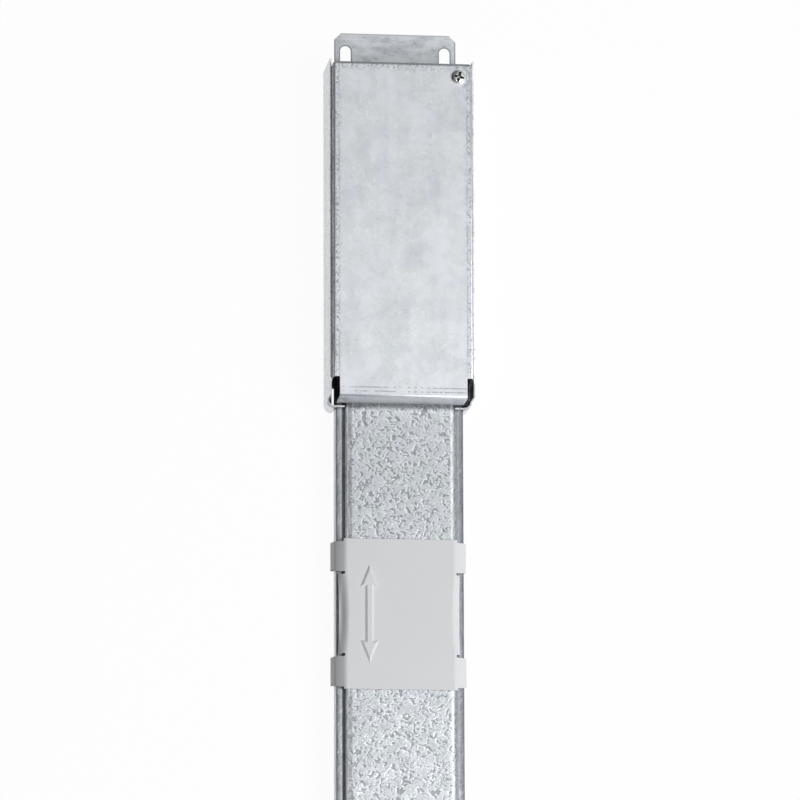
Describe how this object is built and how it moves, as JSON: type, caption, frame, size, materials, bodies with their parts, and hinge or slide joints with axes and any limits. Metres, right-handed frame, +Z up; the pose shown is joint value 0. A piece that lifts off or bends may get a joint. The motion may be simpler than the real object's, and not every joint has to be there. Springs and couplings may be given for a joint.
{
  "type": "underfloor power track",
  "caption": "Low sheet-metal busbar track with sliding covers over its outlets and a feed box with a notched lid and slotted fixing tab at one end.",
  "frame": {"origin": "middle of the whole length, at the level of the floor it lies on", "axes": "+Y along the track towards the feed box, +Z up, +X across"},
  "size_m": [0.106, 1.471, 0.053],
  "materials": {
    "zinc_sheet": "smooth zinc-coated sheet with soft cloudy stains",
    "galvanised_sheet": "galvanised sheet with visible spangle",
    "bright_zinc": "bright zinc plate",
    "cover_plastic": "light grey moulded plastic, fine satin",
    "insert_plastic": "dark grey moulded plastic",
    "terminal_plastic": "off-white moulded plastic",
    "carrier_plastic": "extruded grey plastic",
    "copper": "drawn copper bar"
  },
  "bodies": {
    "track": {"feed_tray": "zinc_sheet", "cable_entry_plate": "zinc_sheet", "clinch_nut": "bright_zinc", "lid": "zinc_sheet", "lid_screw": "bright_zinc", "terminal_block": "terminal_plastic", "terminal_screws": "bright_zinc", "track_base_channel": "galvanised_sheet", "track_top_cover": "galvanised_sheet", "conductor_carrier": "carrier_plastic", "end_cap": "cover_plastic", "busbar_1": "copper", "busbar_2": "copper", "busbar_3": "copper", "outlet_insert_1": "insert_plastic", "outlet_insert_2": "insert_plastic", "outlet_insert_3": "insert_plastic", "outlet_insert_4": "insert_plastic"},
    "cover_1": {"dust_cover_1": "cover_plastic"},
    "cover_2": {"dust_cover_2": "cover_plastic"},
    "cover_3": {"dust_cover_3": "cover_plastic"},
    "cover_4": {"dust_cover_4": "cover_plastic"}
  },
  "joints": [
    {"name": "cover_1_slide", "type": "slide", "parent": "track", "child": "cover_1", "axis": [0, 1, 0], "range_m": [-0.09, 0.092]},
    {"name": "cover_2_slide", "type": "slide", "parent": "track", "child": "cover_2", "axis": [0, 1, 0], "range_m": [-0.09, 0.092]},
    {"name": "cover_3_slide", "type": "slide", "parent": "track", "child": "cover_3", "axis": [0, 1, 0], "range_m": [-0.09, 0.092]},
    {"name": "cover_4_slide", "type": "slide", "parent": "track", "child": "cover_4", "axis": [0, 1, 0], "range_m": [-0.07, 0.092]}
  ]
}
